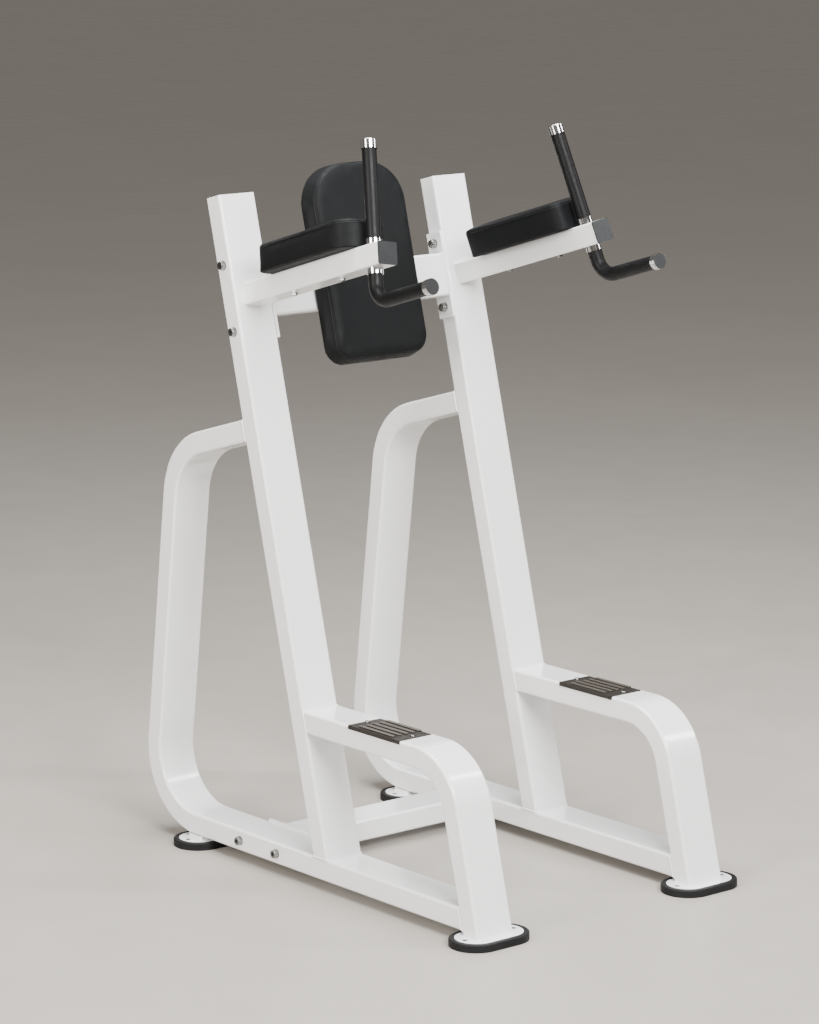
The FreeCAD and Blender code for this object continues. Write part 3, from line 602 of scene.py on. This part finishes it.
class Pad:
    """Foam pad modelled upright: rear face on z=0, lower edge on y=0, x centred."""

    def __init__(self, width, height, depth):
        clear_selection()
        bpy.ops.mesh.primitive_cube_add(size=1, location=(0, height / 2, (depth + CLEAR) / 2))
        self.obj = bpy.context.active_object
        self.obj.scale = (width, height, depth - CLEAR)
        bpy.ops.object.transform_apply(location=True, rotation=True, scale=True)
        self.depth = depth

    def move_vertices(self, offset, wanted):
        pick(self.obj, "VERT", lambda vertex: wanted(vertex.co))
        bpy.ops.transform.translate(value=offset)
        bpy.ops.object.mode_set(mode="OBJECT")

    def taper_front(self, scale_x, scale_y, pivot_y):
        pick(self.obj, "FACE", lambda face: face.normal.z > 0.9)
        bpy.ops.transform.resize(value=(scale_x, scale_y, 1), center_override=(0, pivot_y, self.depth))
        bpy.ops.object.mode_set(mode="OBJECT")

    def round_corners(self, radius, wanted):
        """Round the block's corner edges, which run from its rear to its front."""
        vertices = self.obj.data.vertices

        def corner(edge):
            a, b = (vertices[i].co for i in edge.vertices)
            return abs(a.z - b.z) > self.depth / 2 and wanted((a + b) / 2)
        pick(self.obj, "EDGE", corner)
        bpy.ops.mesh.bevel(offset=radius, segments=12, affect="EDGES")
        bpy.ops.object.mode_set(mode="OBJECT")

    def round_rim(self, radius):
        """Ease the front rim."""
        vertices = self.obj.data.vertices
        pick(self.obj, "EDGE", lambda edge: all(vertices[i].co.z > self.depth - 1e-4 for i in edge.vertices))
        bpy.ops.mesh.bevel(offset=radius, segments=4, affect="EDGES")
        bpy.ops.object.mode_set(mode="OBJECT")

    def rim_outline(self, height, name):
        """A loop of edges round the block at that height, taken by cutting a copy."""
        take(self.obj)
        bpy.ops.object.duplicate()
        loop = bpy.context.active_object
        loop.name = name
        pick(loop, "FACE", lambda face: True)
        bpy.ops.mesh.bisect(plane_co=(0, 0, height), plane_no=(0, 0, 1), clear_inner=True, clear_outer=True)
        bpy.ops.object.mode_set(mode="OBJECT")
        return loop

    def remesh(self, voxel):
        take(self.obj)
        self.obj.data.remesh_voxel_size = voxel
        bpy.ops.object.voxel_remesh()

    def hold_rear(self, height):
        """Mark the points that are stapled to the board."""
        group = self.obj.vertex_groups.new(name="held")
        held = [vertex.index for vertex in self.obj.data.vertices if vertex.co.z < height]
        group.add(held, 1.0, "REPLACE")

    def swell(self, pressure, cap):
        """Let the foam push the cover out for a moment; the rear face stays on its board."""
        obj = self.obj
        before = [vertex.co.copy() for vertex in obj.data.vertices]
        cloth = obj.modifiers.new("foam", "CLOTH")
        cloth.settings.use_pressure = True
        cloth.settings.uniform_pressure_force = pressure
        cloth.settings.effector_weights.gravity = 0
        cloth.settings.vertex_group_mass = "held"
        cloth.settings.quality = 4
        cloth.settings.tension_stiffness = CLOTH_STRETCH
        cloth.settings.compression_stiffness = CLOTH_STRETCH
        cloth.settings.bending_stiffness = CLOTH_BEND
        cloth.collision_settings.use_collision = False
        cloth.point_cache.frame_start = 1
        cloth.point_cache.frame_end = FOAM_FRAMES
        for number in range(1, FOAM_FRAMES + 1):
            bpy.context.scene.frame_set(number)
        take(obj)
        bpy.ops.object.modifier_apply(modifier=cloth.name)
        bpy.context.scene.frame_set(1)
        for vertex, start in zip(obj.data.vertices, before):
            move = vertex.co - start
            if move.length > cap:
                vertex.co = start + move.normalized() * cap

    def ease(self):
        """Even out the remesh's steps."""
        modifier = self.obj.modifiers.new("ease", "SMOOTH")
        modifier.factor = 0.5
        modifier.iterations = EASE_ROUNDS
        modifier.vertex_group = "held"
        modifier.invert_vertex_group = True
        apply_modifiers(self.obj)
        self.obj.vertex_groups.clear()

    def refine(self):
        modifier = self.obj.modifiers.new("fine", "SUBSURF")
        modifier.levels = 1
        apply_modifiers(self.obj)
        take(self.obj)
        bpy.ops.object.shade_smooth()

    def upholster(self, settings):
        self.remesh(settings.voxel)
        self.hold_rear(1.2 * settings.voxel)
        self.swell(settings.pressure, settings.swell)
        self.ease()
        self.refine()

    def seam(self, loop, radius):
        """Lay the loop on the finished cover and give it its thickness."""
        modifier = loop.modifiers.new("lay", "SHRINKWRAP")
        modifier.target = self.obj
        modifier.offset = 0
        apply_modifiers(loop)
        return tube_along(loop, radius)


BACK_W, BACK_L, BACK_T = 0.284, 0.4564, 0.047
BACK_LOW = 0.3396                                  # along the upright
BACK_TAPER_X, BACK_TAPER_Y = 0.925, 0.984
BACK_TOP_R, BACK_FOOT_R, BACK_RIM_R = 0.097, 0.046, 0.006
BACK_MOUNT = 0.004                                 # thickness of the mounting plate behind the pad
SEAM_BEHIND = 0.010                                # seam behind the front face


class STATION_OT_back_pad(bpy.types.Operator):
    """Back pad: foam under grained vinyl, tapering to the front, with a sewn seam round it"""
    bl_idname = "station.back_pad"
    bl_label = "Back pad"

    def execute(self, context):
        settings = context.scene.station_pads
        finish = context.scene.station_finish
        room = SWELL_ROOM
        pad = Pad(BACK_W - 2 * room, BACK_L - 2 * room, BACK_T - room)
        middle_y = (BACK_L - 2 * room) / 2
        pad.taper_front(BACK_TAPER_X, BACK_TAPER_Y, 2 * middle_y)
        pad.round_corners(BACK_TOP_R, lambda p: p.y > middle_y)
        pad.round_corners(BACK_FOOT_R, lambda p: p.y < 0.01)
        seam = pad.rim_outline(BACK_T - SEAM_BEHIND, "back_pad_seam")
        pad.round_rim(BACK_RIM_R)
        pad.upholster(settings)
        seam = pad.seam(seam, settings.welt)
        place = axes_matrix(on_upright(0, BACK_LOW + room, BACK_MOUNT), X_AXIS, UPRIGHT_DIR, UPRIGHT_OUT)
        settle(pad.obj, place)
        settle(seam, place)
        finish_piece(pad.obj, "back_pad_cover", material_of("grained_vinyl", vinyl, finish))
        finish_piece(seam, "back_pad_seam", material_of("vinyl_welt", vinyl_welt, finish))
        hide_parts("back_pad_cushion")
        return {"FINISHED"}


ARM_PAD_W, ARM_PAD_T = 0.114, 0.065
ARM_PAD_BACK, ARM_PAD_FRONT_OUTER, ARM_PAD_FRONT_INNER = 0.395, 0.082, 0.060
ARM_PAD_OUTER_R, ARM_PAD_INNER_R, ARM_PAD_BACK_R, ARM_PAD_RIM_R = 0.038, 0.028, 0.012, 0.007


class STATION_OT_arm_pads(bpy.types.Operator):
    """Arm pads: long foam pads with a slanted, well rounded front"""
    bl_idname = "station.arm_pads"
    bl_label = "Arm pads"

    def execute(self, context):
        settings = context.scene.station_pads
        finish = context.scene.station_finish
        room = SWELL_ROOM
        span = ARM_PAD_BACK - ARM_PAD_FRONT_INNER - 2 * room
        half = ARM_PAD_W / 2 - room
        slant = ARM_PAD_FRONT_OUTER - ARM_PAD_FRONT_INNER
        for name, side in SIDES.items():
            arm = ArmAxes(side)
            pad = Pad(2 * half, span, ARM_PAD_T - room)
            pad.move_vertices((0, -slant, 0), lambda p: p.y > span - 0.001 and p.x * side > 0)
            pad.round_corners(ARM_PAD_OUTER_R, lambda p: p.y > span / 2 and p.x * side > half - 0.001)
            pad.round_corners(ARM_PAD_INNER_R, lambda p: p.y > span - 0.002 and p.x * side < 0.001 - half)
            pad.round_corners(ARM_PAD_BACK_R, lambda p: p.y < 0.001 and abs(p.x) > half - 0.001)
            seam = pad.rim_outline(ARM_PAD_T - SEAM_BEHIND, "arm_pad_seam_" + name)
            pad.round_rim(ARM_PAD_RIM_R)
            pad.upholster(settings)
            seam = pad.seam(seam, settings.welt)
            place = axes_matrix(arm.point(ARM_PAD_BACK - room, 0, TUBE_D / 2), -arm.inward * side,
                                arm.ahead, arm.up)
            settle(pad.obj, place)
            settle(seam, place)
            finish_piece(pad.obj, "arm_pad_cover_" + name, material_of("grained_vinyl", vinyl, finish))
            finish_piece(seam, "arm_pad_seam_" + name, material_of("vinyl_welt", vinyl_welt, finish))
            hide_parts("arm_pad_cushion_" + name)
        return {"FINISHED"}


# ---- finishes of the frame's own parts ---------------------------------------------------------------
class STATION_OT_finishes(bpy.types.Operator):
    """Procedural finishes on all the frame's own parts"""
    bl_idname = "station.finishes"
    bl_label = "Finishes"

    def execute(self, context):
        s = context.scene.station_finish
        finishes = {
            "frame_paint": powder_coat(s),
            "foot_rubber": rubber("foot_rubber", tuple(s.rubber), 0.50, 0.64, 800.0),
            "grip_rubber": rubber("grip_rubber", tuple(s.grip), 0.38, 0.50, 1400.0),
            "handle_chrome": chrome("handle_chrome", 0.04, 0.09, (0.66, 0.66, 0.665)),
            "handle_steel": chrome("handle_steel", 0.25, 0.35, (0.55, 0.55, 0.56)),
            "zinc_steel": zinc(s),
            "grey_plastic": moulded_plastic("arm_cap_plastic", tuple(s.cap), 0.30, 0.40),
            "plug_plastic": moulded_plastic("plug_plastic", shade(tuple(s.cap), 0.9), 0.38, 0.5),
            "cap_plastic": moulded_plastic("upright_cap_plastic", (0.03, 0.03, 0.032), 0.45, 0.55),
            "tread_metal": tread_metal(s),
            "pad_board": backing_cloth(s),
            "pad_vinyl": material_of("grained_vinyl", vinyl, s),
        }
        finishes["plate_paint"] = finishes["frame_paint"]
        for row in frame["record"]["subparts"]:
            paint_node(row["node"], finishes[row["material_slot"]])
        paint_node("foot_plate_screws", dark_screw())
        return {"FINISHED"}


# ---- stage -------------------------------------------------------------------------------------------
CAMERA_PLACE = (-5.3427, -6.3901, 2.4677)
CAMERA_AIM = (radians(90 - 11.25), 0, radians(-39.53))
CAMERA_LENS = 132.2


def soft_light(name, place, aim, size, power, tint=(1, 1, 1)):
    light = bpy.data.lights.new(name, "AREA")
    light.shape = "RECTANGLE"
    light.size, light.size_y = size
    light.energy = power
    light.color = tint
    obj = bpy.data.objects.new(name, light)
    bpy.context.scene.collection.objects.link(obj)
    obj.location = place
    obj.rotation_euler = (Vector(aim) - Vector(place)).to_track_quat("-Z", "Y").to_euler()


def studio_world():
    """Soft surroundings, paler overhead than at the sides."""
    world = bpy.data.worlds.new("studio")
    world.use_nodes = True
    tree = world.node_tree
    direction = tree.nodes.new("ShaderNodeTexCoord").outputs["Generated"]
    split = tree.nodes.new("ShaderNodeSeparateXYZ")
    tree.links.new(direction, split.inputs[0])
    ramp = tree.nodes.new("ShaderNodeValToRGB")
    stops = ramp.color_ramp.elements
    stops[0].position, stops[0].color = 0.0, (0.42, 0.39, 0.36, 1)
    stops[1].position, stops[1].color = 1.0, (0.83, 0.81, 0.785, 1)
    band = stops.new(0.28)
    band.color = (0.21, 0.195, 0.175, 1)
    tree.links.new(split.outputs["Z"], ramp.inputs[0])
    tree.links.new(ramp.outputs[0], tree.nodes["Background"].inputs["Color"])
    tree.nodes["Background"].inputs["Strength"].default_value = 0.75
    return world


class STATION_OT_stage(bpy.types.Operator):
    """Pale floor, soft studio lights and the camera"""
    bl_idname = "station.stage"
    bl_label = "Stage"

    def execute(self, context):
        clear_selection()
        bpy.ops.mesh.primitive_plane_add(size=400, location=(0, 0, 0))
        floor = context.active_object
        floor.name = "studio_floor"
        f = Finish("studio_floor")
        f.colour(f.blend(f.noise(1.2, 3.0), (0.335, 0.310, 0.280), (0.37, 0.343, 0.31)))
        f.roughness(f.fit(f.noise(6.0, 4.0), 0.3, 0.7, 0.45, 0.6))
        floor.data.materials.append(f.material)
        context.scene.world = studio_world()
        soft_light("key_light", (-1.2, -5.0, 4.0), (0, 0, 0.8), (3.0, 2.0), 690)
        soft_light("side_light", (-5.2, -0.6, 2.4), (0, 0, 0.7), (2.0, 3.0), 330, (1.0, 0.965, 0.92))
        soft_light("top_light", (0.0, 0.3, 4.4), (0, 0, 0.6), (2.6, 2.6), 350)
        soft_light("strip_light", (3.1, -2.5, 3.4), (0, 0, 0.6), (0.35, 2.4), 90)
        camera = bpy.data.cameras.new("camera")
        camera.lens = CAMERA_LENS
        camera.sensor_width = 36
        camera.clip_end = 100
        holder = bpy.data.objects.new("camera", camera)
        context.scene.collection.objects.link(holder)
        holder.location = CAMERA_PLACE
        holder.rotation_euler = CAMERA_AIM
        context.scene.camera = holder
        return {"FINISHED"}


# ---- panel and registration --------------------------------------------------------------------------
class STATION_PT_panel(bpy.types.Panel):
    """The station's steps, in order"""
    bl_label = "Knee raise station"
    bl_idname = "STATION_PT_panel"
    bl_space_type = "VIEW_3D"
    bl_region_type = "UI"
    bl_category = "Station"

    def draw(self, context):
        for operator in OPERATORS:
            self.layout.operator(operator.bl_idname)
        for group in ("station_finish", "station_pads", "station_welds"):
            settings = getattr(context.scene, group)
            for name in settings.bl_rna.properties.keys():
                if name not in ("rna_type", "name"):
                    self.layout.prop(settings, name)


OPERATORS = (STATION_OT_finishes, STATION_OT_welds, STATION_OT_back_pad, STATION_OT_arm_pads,
             STATION_OT_stage)
CLASSES = (StationFinish, StationPads, StationWelds, *OPERATORS, STATION_PT_panel)


def register():
    for item in CLASSES:
        bpy.utils.register_class(item)
    bpy.types.Scene.station_finish = PointerProperty(type=StationFinish)
    bpy.types.Scene.station_pads = PointerProperty(type=StationPads)
    bpy.types.Scene.station_welds = PointerProperty(type=StationWelds)


def unregister():
    del bpy.types.Scene.station_welds
    del bpy.types.Scene.station_pads
    del bpy.types.Scene.station_finish
    for item in reversed(CLASSES):
        bpy.utils.unregister_class(item)


def main():
    register()
    for operator in OPERATORS:
        group, name = operator.bl_idname.split(".")
        getattr(getattr(bpy.ops, group), name)()


if __name__ == "__main__":
    main()
